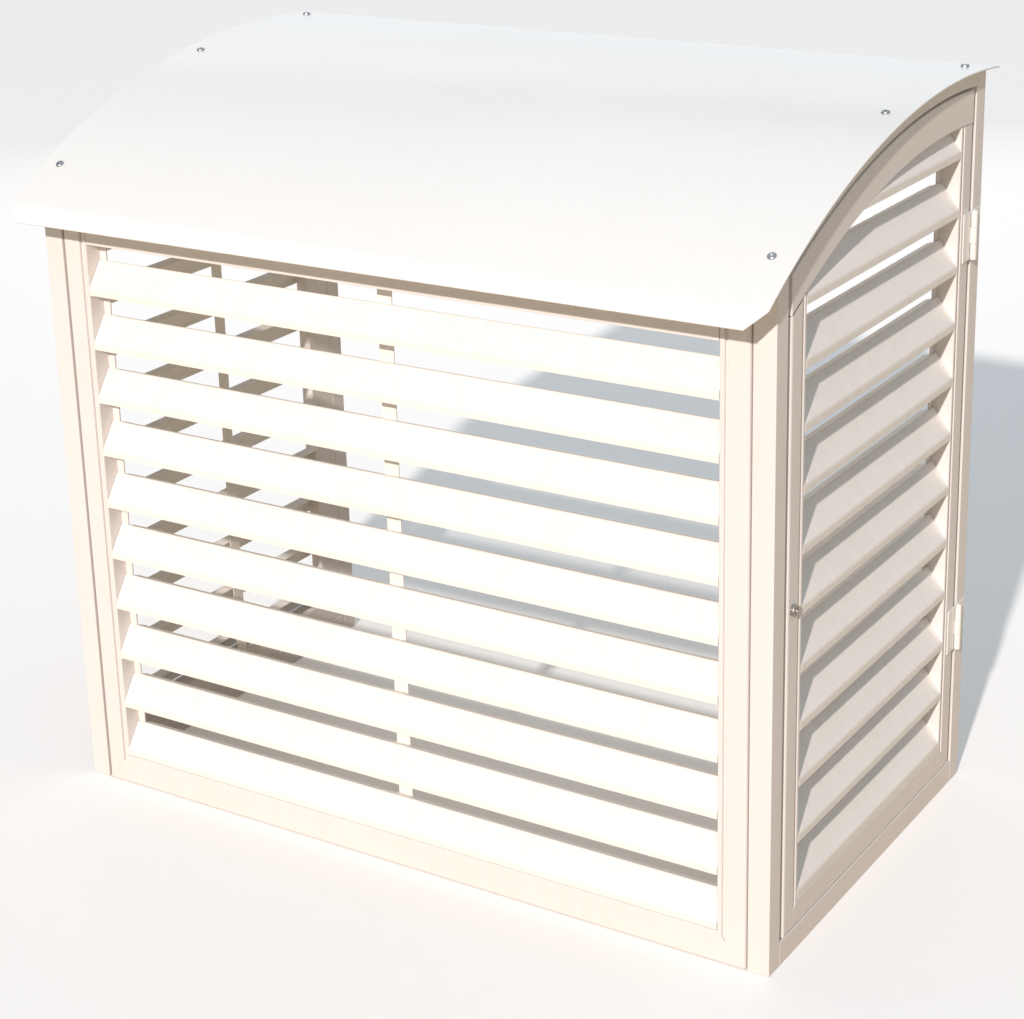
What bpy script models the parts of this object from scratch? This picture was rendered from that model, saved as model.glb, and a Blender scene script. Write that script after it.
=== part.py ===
"""Louvred cover for an outdoor air conditioner: a powder-coated sheet-metal cabin with no floor and no back.

Four square posts carry a curved sheet roof. The front and the left side are fixed louvred panels. The
right side is a louvred door on two hinges, with a small key lock. All three panels have stiles of one
rolled section between plain rails. Metres, +Z up, the front faces -Y, and the origin is on the floor
under the middle of the roof.
"""

import math

import bmesh
import bpy
from mathutils import Vector

# The cabin, over its posts.
HALF_WIDTH = 0.500
FRONT_Y = -0.257
BACK_Y = 0.303
POST = 0.027
FIT = 0.0005

# The roof is part of a cylinder that lies along X. Its front edge is folded down into a lip.
ROOF_RADIUS = 0.970
ROOF_AXIS_Y = 0.213
ROOF_AXIS_Z = -0.032
ROOF_SHEET = 0.002
ROOF_HALF_WIDTH = 0.512
ROOF_FRONT_Y = -0.302
ROOF_BACK_Y = 0.315
ROOF_LIP_OUT = 0.013
ROOF_LIP_DOWN = 0.019
ROOF_LIP_MITRE = 0.022
ROOF_STEPS = 40

# Rails that close the cabin round the panels.
ARCH_HEIGHT = 0.019
SILL_HEIGHT = 0.030
BACK_RAIL_HEIGHT = 0.030

# The rolled section of every stile, across its width and into its depth, and the plain rails between.
FACE = 0.026
GROOVE = 0.004
GROOVE_DEPTH = 0.004
BEAD = 0.008
SECTION = FACE + GROOVE + BEAD
SECTION_DEPTH = 0.0265
RETURN_LIP = 0.010
RETURN_LIP_SHEET = 0.002
HEAD_RAIL = 0.040
MITRE_GAP = 0.00025
TOP_STEPS = 24
OPENING_STEPS = 15

# A louvre slat is one folded strip: a lip, a sloping blade and a short return behind.
SLAT_PITCH = 0.070
SLAT_SHEET = 0.0015
SLAT_FOLDS = ((0.00075, 0.0), (0.00075, 0.0098), (0.0225, 0.0405), (0.0342, 0.0368))
SLAT_END_GAP = 0.0004
FRONT_SLATS = 10
SIDE_SLATS = 12

# Where the panels stand: their edges, the height at which their slats start, and the door's gaps.
FRONT_PANEL_FOOT = 0.001
FRONT_PANEL_TOP = 0.776
FRONT_SLATS_FROM = 0.040
FRONT_PANEL_SIDE_GAP = 0.0025
DOOR_GAP = 0.008
DOOR_TOP_GAP = 0.0035
DOOR_FOOT = 0.032
SIDE_SLATS_FROM = 0.064

# The strip behind the front slats, and the one that carries the left side's slats.
STRIP_WIDTH = 0.020
STRIP_SHEET = 0.002
STRIP_X = -0.014

# Butt hinges on the door's rear edge.
HINGE_HEIGHTS = (0.222, 0.735)
HINGE_LENGTH = 0.060
HINGE_RADIUS = 0.0042
HINGE_PIN = 0.0020
HINGE_BORE = 0.0022
HINGE_SHEET = 0.0015
LEAF_NEAR = 0.0048
LEAF_FAR = 0.0256
HINGE_X = HALF_WIDTH + 0.0045
HINGE_Y = BACK_Y - POST - DOOR_GAP / 2
KNUCKLE_GAP = 0.0004

# The cam lock on the door's front stile.
LOCK_Y = FRONT_Y + POST + DOOR_GAP + 0.012
LOCK_Z = 0.430
LOCK_HOLE = 0.0080
LOCK_BODY = 0.0075
LOCK_FLANGE = 0.0085
LOCK_PROUD = 0.005
PLUG_RADIUS = 0.0045
PLUG_BORE = 0.0048
CAM_LENGTH = 0.0275
CAM_HALF_WIDTH = 0.006
CAM_SHEET = 0.003
CAM_X = HALF_WIDTH - POST - 0.0015

CREAM = (0.84, 0.80, 0.72)
STEEL = (0.60, 0.59, 0.57)


for old in list(bpy.data.objects):
    bpy.data.objects.remove(old, do_unlink=True)


def paint(obj, colour=CREAM, roughness=0.35, metallic=0.0):
    """Gives the object a material of its own."""
    material = bpy.data.materials.new(obj.name)
    material.use_nodes = True
    shader = material.node_tree.nodes["Principled BSDF"]
    shader.inputs["Base Color"].default_value = (*colour, 1.0)
    shader.inputs["Roughness"].default_value = roughness
    shader.inputs["Metallic"].default_value = metallic
    obj.data.materials.append(material)
    return obj


def link(name, shape):
    """Makes an object from a bmesh, with its faces pointing out."""
    bmesh.ops.recalc_face_normals(shape, faces=shape.faces)
    mesh = bpy.data.meshes.new(name)
    shape.to_mesh(mesh)
    shape.free()
    obj = bpy.data.objects.new(name, mesh)
    bpy.context.scene.collection.objects.link(obj)
    return obj


def loft(name, rings):
    """A solid through a row of like rings, closed by a flat cap at each end."""
    shape = bmesh.new()
    rows = [[shape.verts.new(point) for point in ring] for ring in rings]
    count = len(rings[0])
    for near, far in zip(rows, rows[1:]):
        for i in range(count):
            j = (i + 1) % count
            shape.faces.new((near[i], near[j], far[j], far[i]))
    shape.faces.new(rows[0])
    shape.faces.new(rows[-1])
    return link(name, shape)


def box(name, low, high):
    """A block between two opposite corners."""
    corners = ((low[0], low[1]), (high[0], low[1]), (high[0], high[1]), (low[0], high[1]))
    return loft(name, [[Vector((x, y, z)) for x, y in corners] for z in (low[2], high[2])])


def rod(name, radius, start, end, sides=24):
    """A round bar from one point to another."""
    along = (end - start).normalized()
    across = along.orthogonal().normalized()
    beside = along.cross(across)
    turns = [2 * math.pi * i / sides for i in range(sides)]
    spokes = [across * (radius * math.cos(a)) + beside * (radius * math.sin(a)) for a in turns]
    return loft(name, [[end_point + spoke for spoke in spokes] for end_point in (start, end)])


def cutter(obj):
    """Hides a helper that only shapes other pieces."""
    obj.hide_render = True
    obj.display_type = "WIRE"
    return obj


def combine(obj, other, operation):
    """Adds a Boolean to the object and keeps the other shape as its hidden helper."""
    modifier = obj.modifiers.new(other.name, "BOOLEAN")
    modifier.operation = operation
    modifier.object = cutter(other)
    return obj


def under_roof(y, inset):
    """Height of the curve that runs `inset` below the roof's upper surface."""
    return ROOF_AXIS_Z + math.sqrt((ROOF_RADIUS - inset) ** 2 - (y - ROOF_AXIS_Y) ** 2)


def between(start, end, steps):
    """Evenly spaced values from start to end, both included."""
    return [start + (end - start) * i / steps for i in range(steps + 1)]


# Posts and rails. The tops of the posts are cut to the slope of the roof above them.
REST = ROOF_SHEET + FIT


def post(name, x, y):
    """A square post from the floor to the roof, with its outer corner column at x to x + POST."""
    outline = [(y, 0.0), (y + POST, 0.0), (y + POST, under_roof(y + POST, REST)), (y, under_roof(y, REST))]
    return paint(loft(name, [[Vector((end, v, z)) for v, z in outline] for end in (x, x + POST)]))


for side, x in (("left", -HALF_WIDTH), ("right", HALF_WIDTH - POST)):
    post("post_front_" + side, x, FRONT_Y)
    post("post_rear_" + side, x, BACK_Y - POST)

RAIL_X = HALF_WIDTH - POST - FIT
RAIL_Y = (FRONT_Y + POST + FIT, BACK_Y - POST - FIT)

paint(
    box(
        "head_rail_front",
        (-RAIL_X, FRONT_Y, FRONT_PANEL_TOP + FIT),
        (RAIL_X, FRONT_Y + POST, under_roof(FRONT_Y, REST)),
    )
)
back_rail_top = under_roof(BACK_Y, REST)
paint(
    box(
        "head_rail_rear",
        (-RAIL_X, BACK_Y - POST, back_rail_top - BACK_RAIL_HEIGHT),
        (RAIL_X, BACK_Y, back_rail_top),
    )
)

for side, x in (("left", -HALF_WIDTH), ("right", HALF_WIDTH - POST)):
    paint(box("sill_" + side, (x, RAIL_Y[0], 0.0), (x + POST, RAIL_Y[1], SILL_HEIGHT)))
    rings = []
    for y in between(RAIL_Y[0], RAIL_Y[1], TOP_STEPS):
        top = under_roof(y, REST)
        low = under_roof(y, REST + ARCH_HEIGHT)
        rings.append([Vector(p) for p in ((x, y, low), (x + POST, y, low), (x + POST, y, top), (x, y, top))])
    paint(loft("arch_" + side, rings))


# The roof: one sheet, curved from back to front, then folded down along the front edge.
def roof():
    """The curved sheet with its lip. The lip's ends are mitred."""
    fold = math.hypot(ROOF_LIP_OUT, ROOF_LIP_DOWN)
    inner = (ROOF_SHEET * ROOF_LIP_DOWN / fold, -ROOF_SHEET * ROOF_LIP_OUT / fold)
    stations = between(ROOF_BACK_Y, ROOF_FRONT_Y, ROOF_STEPS)
    upper = [(y, under_roof(y, 0.0), 0.0) for y in stations]
    lower = [(y, under_roof(y, ROOF_SHEET), 0.0) for y in stations]
    tip = (upper[-1][0] - ROOF_LIP_OUT, upper[-1][1] - ROOF_LIP_DOWN)
    upper.append((tip[0], tip[1], ROOF_LIP_MITRE))
    lower.append((tip[0] + inner[0], tip[1] + inner[1], ROOF_LIP_MITRE))
    shape = bmesh.new()
    edges = {}
    for side in (-1, 1):
        for layer, points in (("upper", upper), ("lower", lower)):
            edges[side, layer] = [
                shape.verts.new((side * (ROOF_HALF_WIDTH - inset), y, z)) for y, z, inset in points
            ]
    loops = (
        (edges[-1, "upper"], edges[1, "upper"]),
        (edges[1, "upper"], edges[1, "lower"]),
        (edges[1, "lower"], edges[-1, "lower"]),
        (edges[-1, "lower"], edges[-1, "upper"]),
    )
    for one, two in loops:
        for i in range(len(one) - 1):
            shape.faces.new((one[i], two[i], two[i + 1], one[i + 1]))
    for i in (0, -1):
        shape.faces.new((edges[-1, "upper"][i], edges[1, "upper"][i], edges[1, "lower"][i], edges[-1, "lower"][i]))
    return paint(link("roof", shape), roughness=0.25)


roof()


# Panels. Each is drawn flat, u across, v up and d into the cabin, and then stood in its wall.
def front_wall(u, v, d):
    """A point of the front panel."""
    return Vector((u, FRONT_Y + d, v))


def right_wall(u, v, d):
    """A point of the right side."""
    return Vector((HALF_WIDTH - d, u, v))


def left_wall(u, v, d):
    """A point of the left side."""
    return Vector((-HALF_WIDTH + d, u, v))


STILE_SECTION = (
    (0.0, 0.0),
    (FACE, 0.0),
    (FACE, GROOVE_DEPTH),
    (FACE + GROOVE, GROOVE_DEPTH),
    (FACE + GROOVE, 0.0),
    (SECTION, 0.0),
    (SECTION, SECTION_DEPTH - RETURN_LIP_SHEET),
    (SECTION + RETURN_LIP, SECTION_DEPTH - RETURN_LIP_SHEET),
    (SECTION + RETURN_LIP, SECTION_DEPTH),
    (0.0, SECTION_DEPTH),
)
STILE_REACH = SECTION + RETURN_LIP


def stile(name, place, u, inward, v0, foot, head):
    """A stile, mitred at its foot. inward is 1 or -1, and head(w) is the height of its upper end at w."""
    lower = [(u + inward * w, v0 + foot * w / SECTION + MITRE_GAP, d) for w, d in STILE_SECTION]
    upper = [(u + inward * w, head(w), d) for w, d in STILE_SECTION]
    return paint(loft(name, [[place(*point) for point in ring] for ring in (lower, upper)]))


def foot_rail(name, place, u0, u1, v0, height):
    """The plain lower rail, mitred at both ends."""
    rings = []
    for u, inward in ((u0, 1), (u1, -1)):
        ends = [(u + inward * MITRE_GAP, v0), (u + inward * (SECTION + MITRE_GAP), v0 + height)]
        outline = [(*ends[0], 0.0), (*ends[1], 0.0), (*ends[1], SECTION_DEPTH), (*ends[0], SECTION_DEPTH)]
        rings.append([place(*point) for point in outline])
    return paint(loft(name, rings))


def curved_panel(name, place, u0, u1, v0, top):
    """A side panel. Its curved upper rail runs over both stiles. top(u, w) is a height w inside its edge."""
    bars = []
    for u, inward, label in ((u0, 1, "stile_1"), (u1, -1, "stile_2")):
        ends = (top(u, HEAD_RAIL) - FIT, top(u + inward * STILE_REACH, HEAD_RAIL) - FIT)

        def head(w, ends=ends):
            return ends[0] + (ends[1] - ends[0]) * w / STILE_REACH

        bars.append(stile(name + "_" + label, place, u, inward, v0, SIDE_SLATS_FROM - v0, head))
    bars.append(foot_rail(name + "_rail_foot", place, u0, u1, v0, SIDE_SLATS_FROM - v0))
    rings = []
    for u in between(u0, u1, TOP_STEPS):
        low, high = top(u, HEAD_RAIL), top(u, 0.0)
        outline = ((u, low, 0.0), (u, high, 0.0), (u, high, SECTION_DEPTH), (u, low, SECTION_DEPTH))
        rings.append([place(*point) for point in outline])
    bars.append(paint(loft(name + "_rail_head", rings)))
    return bars


def folded_strip(folds, sheet):
    """The outline of a sheet of the given thickness, folded along a path of points."""
    path = [Vector(point) for point in folds]
    sides = ([], [])
    for i, point in enumerate(path):
        before = (point - path[i - 1]).normalized() if i else None
        after = (path[i + 1] - point).normalized() if i + 1 < len(path) else None
        along = (before or after) + (after or before)
        along.normalize()
        normal = Vector((-along.y, along.x))
        reach = sheet / 2 / (along.dot(after or before))
        sides[0].append(point + normal * reach)
        sides[1].append(point - normal * reach)
    return sides[0] + sides[1][::-1]


SLAT_OUTLINE = folded_strip(SLAT_FOLDS, SLAT_SHEET)
TOP_SLAT_OUTLINE = folded_strip(SLAT_FOLDS[:3], SLAT_SHEET)


def slat(name, place, u0, u1, v, outline=SLAT_OUTLINE):
    """One louvre slat whose lower edge lies at height v."""
    ends = (u0 + SLAT_END_GAP, u1 - SLAT_END_GAP)
    return loft(name, [[place(u, v + p.y, p.x) for p in outline] for u in ends])


def notch_cutter(name, place, u0, u1, v0, v1):
    """Two blocks that shorten the slats' returns, to clear the return lips of the stiles."""
    shape = bmesh.new()
    room = RETURN_LIP + 0.0008
    depths = (SECTION_DEPTH - RETURN_LIP_SHEET - FIT, 0.050)
    for ends in ((u0 - 0.002, u0 + room), (u1 - room, u1 + 0.002)):
        corners = [(u, d) for u, d in zip((ends[0], ends[1], ends[1], ends[0]), (depths[0],) * 2 + (depths[1],) * 2)]
        rows = [[shape.verts.new(place(u, v, d)) for u, d in corners] for v in (v0 - 0.01, v1 + 0.01)]
        for i in range(4):
            j = (i + 1) % 4
            shape.faces.new((rows[0][i], rows[0][j], rows[1][j], rows[1][i]))
        shape.faces.new(rows[0])
        shape.faces.new(rows[1])
    return cutter(link(name, shape))


def opening_block(name, place, u0, u1, v0, top):
    """The inside of a side panel's frame as a block, to cut its upper slats to the curve."""
    outline = [(u1, v0), (u0, v0)]
    outline += [(u, top(u, HEAD_RAIL) - FIT) for u in between(u0, u1, OPENING_STEPS)]
    return cutter(loft(name, [[place(u, v, d) for u, v in outline] for d in (-0.005, 0.050)]))


def add_boolean(obj, other, operation):
    """Adds a Boolean with a helper that several pieces share."""
    modifier = obj.modifiers.new(other.name, "BOOLEAN")
    modifier.operation = operation
    modifier.object = other
    return obj


# The front panel. Its stiles run up to the head rail of the cabin, with the panel's own upper rail between.
front_u = HALF_WIDTH - POST - FRONT_PANEL_SIDE_GAP


def front_top(w):
    """The front stiles are cut off square."""
    return FRONT_PANEL_TOP


front_bars = [
    stile("front_" + label, front_wall, u, inward, FRONT_PANEL_FOOT, FRONT_SLATS_FROM - FRONT_PANEL_FOOT, front_top)
    for u, inward, label in ((-front_u, 1, "stile_1"), (front_u, -1, "stile_2"))
]
foot_rail("front_rail_foot", front_wall, -front_u, front_u, FRONT_PANEL_FOOT, FRONT_SLATS_FROM - FRONT_PANEL_FOOT)
front_in = front_u - SECTION
paint(
    box(
        "front_rail_head",
        (-front_in + FIT, FRONT_Y, FRONT_PANEL_TOP - HEAD_RAIL),
        (front_in - FIT, FRONT_Y + SECTION_DEPTH - RETURN_LIP_SHEET - FIT, FRONT_PANEL_TOP),
    )
)
notches = notch_cutter("front_notches", front_wall, -front_in, front_in, 0.0, FRONT_PANEL_TOP)
for i in range(FRONT_SLATS):
    height = FRONT_SLATS_FROM + FIT + i * SLAT_PITCH
    add_boolean(paint(slat("front_slat_%02d" % (i + 1), front_wall, -front_in, front_in, height)), notches, "DIFFERENCE")
strip_d = SLAT_FOLDS[-1][0] + 0.0015
paint(
    box(
        "front_strip",
        (STRIP_X - STRIP_WIDTH / 2, FRONT_Y + strip_d, FRONT_SLATS_FROM),
        (STRIP_X + STRIP_WIDTH / 2, FRONT_Y + strip_d + STRIP_SHEET, FRONT_PANEL_TOP - HEAD_RAIL),
    )
)

# The door. Its upper rail follows the roof, and its top slats are cut to that curve.
DOOR_INSET = REST + ARCH_HEIGHT + DOOR_TOP_GAP
door_u = (FRONT_Y + POST + DOOR_GAP, BACK_Y - POST - DOOR_GAP)


def door_top(u, w):
    """The door's upper edge runs a set distance below the roof."""
    return under_roof(u, DOOR_INSET + w)


door_axis = bpy.data.objects.new("door_axis", None)
door_axis.location = (HINGE_X, HINGE_Y, 0.0)
bpy.context.scene.collection.objects.link(door_axis)


def hang(obj):
    """Hangs a piece on the door's axis without moving it."""
    obj.parent = door_axis
    obj.matrix_parent_inverse.translation = -door_axis.location
    return obj


door_bars = curved_panel("door", right_wall, *door_u, DOOR_FOOT, door_top)
for bar in door_bars:
    hang(bar)
door_in = (door_u[0] + SECTION, door_u[1] - SECTION)
notches = hang(notch_cutter("door_notches", right_wall, *door_in, 0.0, 0.9))
opening = hang(opening_block("door_opening", right_wall, *door_in, SIDE_SLATS_FROM, door_top))
for i in range(SIDE_SLATS):
    height = SIDE_SLATS_FROM + FIT + i * SLAT_PITCH
    outline = TOP_SLAT_OUTLINE if i == SIDE_SLATS - 1 else SLAT_OUTLINE
    blade = hang(paint(slat("door_slat_%02d" % (i + 1), right_wall, *door_in, height, outline)))
    add_boolean(blade, notches, "DIFFERENCE")
    if i >= SIDE_SLATS - 2:
        add_boolean(blade, opening, "INTERSECT")

# The left side: the same panel, fixed close between the posts, with its slats on one strip.
LEFT_INSET = REST + ARCH_HEIGHT + FIT
left_u = RAIL_Y


def left_top(u, w):
    """The left panel's upper edge meets the curved rail."""
    return under_roof(u, LEFT_INSET + w)


curved_panel("left", left_wall, *left_u, SILL_HEIGHT + FIT, left_top)
left_in = (left_u[0] + SECTION, left_u[1] - SECTION)
notches = notch_cutter("left_notches", left_wall, *left_in, 0.0, 0.9)
opening = opening_block("left_opening", left_wall, *left_in, SIDE_SLATS_FROM, left_top)
strip_y = (FRONT_Y + BACK_Y) / 2
strip_x = -HALF_WIDTH + SLAT_FOLDS[-1][0] - 0.0015
bank = box(
    "left_slats",
    (strip_x, strip_y - STRIP_WIDTH / 2, SIDE_SLATS_FROM + FIT),
    (strip_x + STRIP_SHEET + 0.001, strip_y + STRIP_WIDTH / 2, left_top(strip_y, HEAD_RAIL) - 0.004),
)
paint(bank)
for i in range(SIDE_SLATS - 1):
    combine(bank, slat("left_slat_%02d" % (i + 1), left_wall, *left_in, SIDE_SLATS_FROM + FIT + i * SLAT_PITCH), "UNION")
top_height = SIDE_SLATS_FROM + FIT + (SIDE_SLATS - 1) * SLAT_PITCH
top_slat = paint(slat("left_slat_top", left_wall, *left_in, top_height, TOP_SLAT_OUTLINE))
for piece in (bank, top_slat):
    add_boolean(piece, notches, "DIFFERENCE")
    add_boolean(piece, opening, "INTERSECT")


# Hinges. The frame leaf has two knuckles and the pin, and the door leaf the knuckle between them.
def plate(name, towards, near, far, bottom, top):
    """Flat metal beside the axis, on the door for towards = -1 and on the post for towards = 1."""
    edges = sorted((HINGE_Y + towards * near, HINGE_Y + towards * far))
    low = (HALF_WIDTH + 0.0003, edges[0], bottom)
    high = (HALF_WIDTH + 0.0003 + HINGE_SHEET, edges[1], top)
    return box(name, low, high)


def upright(name, radius, low, high):
    """A round piece on the hinge's axis."""
    return rod(name, radius, Vector((HINGE_X, HINGE_Y, low)), Vector((HINGE_X, HINGE_Y, high)))


knuckle = HINGE_LENGTH / 3
for label, z in zip(("lower", "upper"), HINGE_HEIGHTS):
    foot = z - HINGE_LENGTH / 2
    levels = [foot + knuckle * i for i in range(4)]
    door_leaf = paint(plate("hinge_%s_door_leaf" % label, -1, LEAF_NEAR, LEAF_FAR, levels[0], levels[3]))
    combine(door_leaf, plate("%s_mid_tab" % label, -1, 0.001, LEAF_NEAR + 0.002, levels[1], levels[2]), "UNION")
    combine(door_leaf, upright("%s_mid_knuckle" % label, HINGE_RADIUS, levels[1], levels[2]), "UNION")
    combine(door_leaf, upright("%s_pin_way" % label, HINGE_BORE, levels[0], levels[3]), "DIFFERENCE")
    hang(door_leaf)
    frame_leaf = paint(plate("hinge_%s_frame_leaf" % label, 1, LEAF_NEAR, LEAF_FAR, levels[0], levels[3]))
    for i, low, high in ((0, levels[0], levels[1] - KNUCKLE_GAP), (2, levels[2] + KNUCKLE_GAP, levels[3])):
        combine(frame_leaf, plate("%s_tab_%d" % (label, i), 1, 0.001, LEAF_NEAR + 0.002, low, high), "UNION")
        combine(frame_leaf, upright("%s_knuckle_%d" % (label, i), HINGE_RADIUS, low, high), "UNION")
    combine(frame_leaf, upright("%s_pin" % label, HINGE_PIN, levels[0] + 0.002, levels[3] - 0.002), "UNION")


# The lock. Its housing sits in a hole through the door's front stile, and the plug turns inside it.
def along_x(name, radius, inner, outer):
    """A round piece on the lock's axis, between two x positions."""
    return rod(name, radius, Vector((inner, LOCK_Y, LOCK_Z)), Vector((outer, LOCK_Y, LOCK_Z)))


combine(door_bars[0], along_x("lock_hole", LOCK_HOLE, HALF_WIDTH - 0.040, HALF_WIDTH + 0.010), "DIFFERENCE")
housing = paint(along_x("lock_housing", LOCK_BODY, HALF_WIDTH - 0.0265, HALF_WIDTH + 0.003), STEEL, 0.25, 1.0)
combine(housing, along_x("lock_flange", LOCK_FLANGE, HALF_WIDTH + 0.0004, HALF_WIDTH + LOCK_PROUD), "UNION")
combine(housing, along_x("plug_way", PLUG_BORE, HALF_WIDTH - 0.040, HALF_WIDTH + 0.010), "DIFFERENCE")
hang(housing)

plug_axis = bpy.data.objects.new("plug_axis", None)
plug_axis.location = (CAM_X, LOCK_Y, LOCK_Z)
bpy.context.scene.collection.objects.link(plug_axis)
hang(plug_axis)
cam = box(
    "lock_plug",
    (CAM_X - CAM_SHEET, LOCK_Y - CAM_HALF_WIDTH, LOCK_Z - CAM_HALF_WIDTH),
    (CAM_X, LOCK_Y + CAM_HALF_WIDTH, LOCK_Z + CAM_LENGTH),
)
paint(cam, STEEL, 0.25, 1.0)
combine(cam, along_x("plug_rod", PLUG_RADIUS, CAM_X - CAM_SHEET / 2, HALF_WIDTH + LOCK_PROUD - 0.001), "UNION")
key_slot = box(
    "key_slot",
    (HALF_WIDTH + LOCK_PROUD - 0.005, LOCK_Y - 0.0006, LOCK_Z - 0.0028),
    (HALF_WIDTH + LOCK_PROUD + 0.005, LOCK_Y + 0.0006, LOCK_Z + 0.0028),
)
combine(cam, key_slot, "DIFFERENCE")

# The cam turns behind the front post, into a slot in the back of the front panel's stile.
cam_reach = LOCK_Y - CAM_LENGTH
keeper = box(
    "keeper_slot",
    (CAM_X - CAM_SHEET - 0.002, cam_reach - 0.002, LOCK_Z - CAM_HALF_WIDTH - 0.002),
    (front_u + 0.001, FRONT_Y + SECTION_DEPTH + 0.002, LOCK_Z + 0.0215),
)
combine(front_bars[1], keeper, "DIFFERENCE")
cam.parent = plug_axis
cam.matrix_parent_inverse.translation = -(plug_axis.location)
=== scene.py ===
"""Looks of a louvred metal cover for an outdoor air conditioner, in the order in which it is assembled.

Metres, +Z up, the front faces -Y. The cover is thin folded and rolled sheet with a cream powder coat.
"""

import math

import bmesh
import bpy
from mathutils import Matrix, Vector


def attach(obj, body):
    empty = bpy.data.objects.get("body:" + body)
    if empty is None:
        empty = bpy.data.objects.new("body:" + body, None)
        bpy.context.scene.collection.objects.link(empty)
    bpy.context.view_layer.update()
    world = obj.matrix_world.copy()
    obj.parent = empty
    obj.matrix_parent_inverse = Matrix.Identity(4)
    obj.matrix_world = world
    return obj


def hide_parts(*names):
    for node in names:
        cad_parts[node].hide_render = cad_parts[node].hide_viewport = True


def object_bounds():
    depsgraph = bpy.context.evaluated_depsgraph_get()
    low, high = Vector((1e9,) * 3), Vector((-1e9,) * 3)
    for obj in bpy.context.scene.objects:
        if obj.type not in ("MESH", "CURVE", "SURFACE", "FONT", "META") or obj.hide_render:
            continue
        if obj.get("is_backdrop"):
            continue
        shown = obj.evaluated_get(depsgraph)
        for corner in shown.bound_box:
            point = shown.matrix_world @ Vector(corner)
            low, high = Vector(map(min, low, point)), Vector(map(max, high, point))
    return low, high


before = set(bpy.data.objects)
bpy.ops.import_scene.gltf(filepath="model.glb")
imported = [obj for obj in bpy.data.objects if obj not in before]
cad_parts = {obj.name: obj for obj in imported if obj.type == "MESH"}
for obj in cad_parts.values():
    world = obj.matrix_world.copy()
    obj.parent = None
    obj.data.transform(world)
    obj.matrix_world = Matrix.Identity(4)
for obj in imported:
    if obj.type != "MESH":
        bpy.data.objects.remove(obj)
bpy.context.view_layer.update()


# Studio. A plain pale floor, a warm key light that slants in from the front right, a soft panel overhead,
# one behind that the roof mirrors, and a faint blue sky. What the floor throws back on the cover is as
# warm and dim as a terrace, and the camera sees it pale.
FLOOR_WIDTH = 60.0
FLOOR_SEEN = (0.90, 0.89, 0.87, 1.0)
FLOOR_LIFT = (1.0, 0.93, 0.86, 1.0)
FLOOR_THROWN = (0.64, 0.50, 0.33, 1.0)
KEY_SIDE = math.radians(13.0)
KEY_RISE = math.radians(28.0)
PANELS_AIM = Vector((0.0, 0.0, 0.9))


def set_down():
    """Leaves edit mode and lets go of everything, so that the next operator acts on one piece alone."""
    if bpy.context.object and bpy.context.object.mode != "OBJECT":
        bpy.ops.object.mode_set(mode="OBJECT")
    bpy.ops.object.select_all(action="DESELECT")


set_down()
bpy.ops.mesh.primitive_plane_add(size=FLOOR_WIDTH, location=(0.0, 0.0, 0.0))
floor = bpy.context.object
floor.name = "studio_floor"
floor_paint = bpy.data.materials.new("studio_floor_paint")
floor_paint.use_nodes = True
floor_nodes = floor_paint.node_tree.nodes
floor_wire = floor_paint.node_tree.links.new
seen_floor = floor_nodes["Principled BSDF"]
seen_floor.inputs["Base Color"].default_value = FLOOR_SEEN
seen_floor.inputs["Roughness"].default_value = 0.9
seen_floor.inputs["Specular IOR Level"].default_value = 0.0
seen_floor.inputs["Emission Color"].default_value = FLOOR_LIFT
seen_floor.inputs["Emission Strength"].default_value = 0.10
throwing_floor = floor_nodes.new("ShaderNodeBsdfDiffuse")
throwing_floor.inputs["Color"].default_value = FLOOR_THROWN
floor_rays = floor_nodes.new("ShaderNodeLightPath")
floor_choice = floor_nodes.new("ShaderNodeMixShader")
floor_wire(floor_rays.outputs["Is Camera Ray"], floor_choice.inputs["Fac"])
floor_wire(throwing_floor.outputs["BSDF"], floor_choice.inputs[1])
floor_wire(seen_floor.outputs["BSDF"], floor_choice.inputs[2])
floor_wire(floor_choice.outputs["Shader"], floor_nodes["Material Output"].inputs["Surface"])
floor.data.materials.append(floor_paint)
floor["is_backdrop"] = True
# The cut pieces' corners are put in order by their distance from here, the same in each run.
bpy.context.scene.cursor.location = (-3.1, -5.3, -7.7)

bpy.ops.object.light_add(type="SUN")
key = bpy.context.object
key.name = "key_light"
towards_key = Vector(
    (
        math.sin(KEY_SIDE) * math.cos(KEY_RISE),
        -math.cos(KEY_SIDE) * math.cos(KEY_RISE),
        math.sin(KEY_RISE),
    )
)
key.rotation_euler = towards_key.to_track_quat("Z", "Y").to_euler()
key.data.energy = 3.3
key.data.angle = math.radians(1.6)
key.data.color = (1.0, 0.92, 0.88)

soft_panels = (
    ("overhead_panel", (0.0, 0.6, 3.1), 3.0, 3.0, 8.0, (0.96, 0.98, 1.0)),
    ("rear_panel", (-1.9, 3.2, 1.8), 3.4, 2.2, 17.0, (1.0, 0.98, 0.95)),
)
for label, place, width, height, power, colour in soft_panels:
    bpy.ops.object.light_add(type="AREA", location=place)
    panel = bpy.context.object
    panel.name = label
    panel.rotation_euler = (Vector(place) - PANELS_AIM).to_track_quat("Z", "Y").to_euler()
    panel.data.shape = "RECTANGLE"
    panel.data.size = width
    panel.data.size_y = height
    panel.data.energy = power
    panel.data.color = colour
    panel.visible_camera = False

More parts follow.
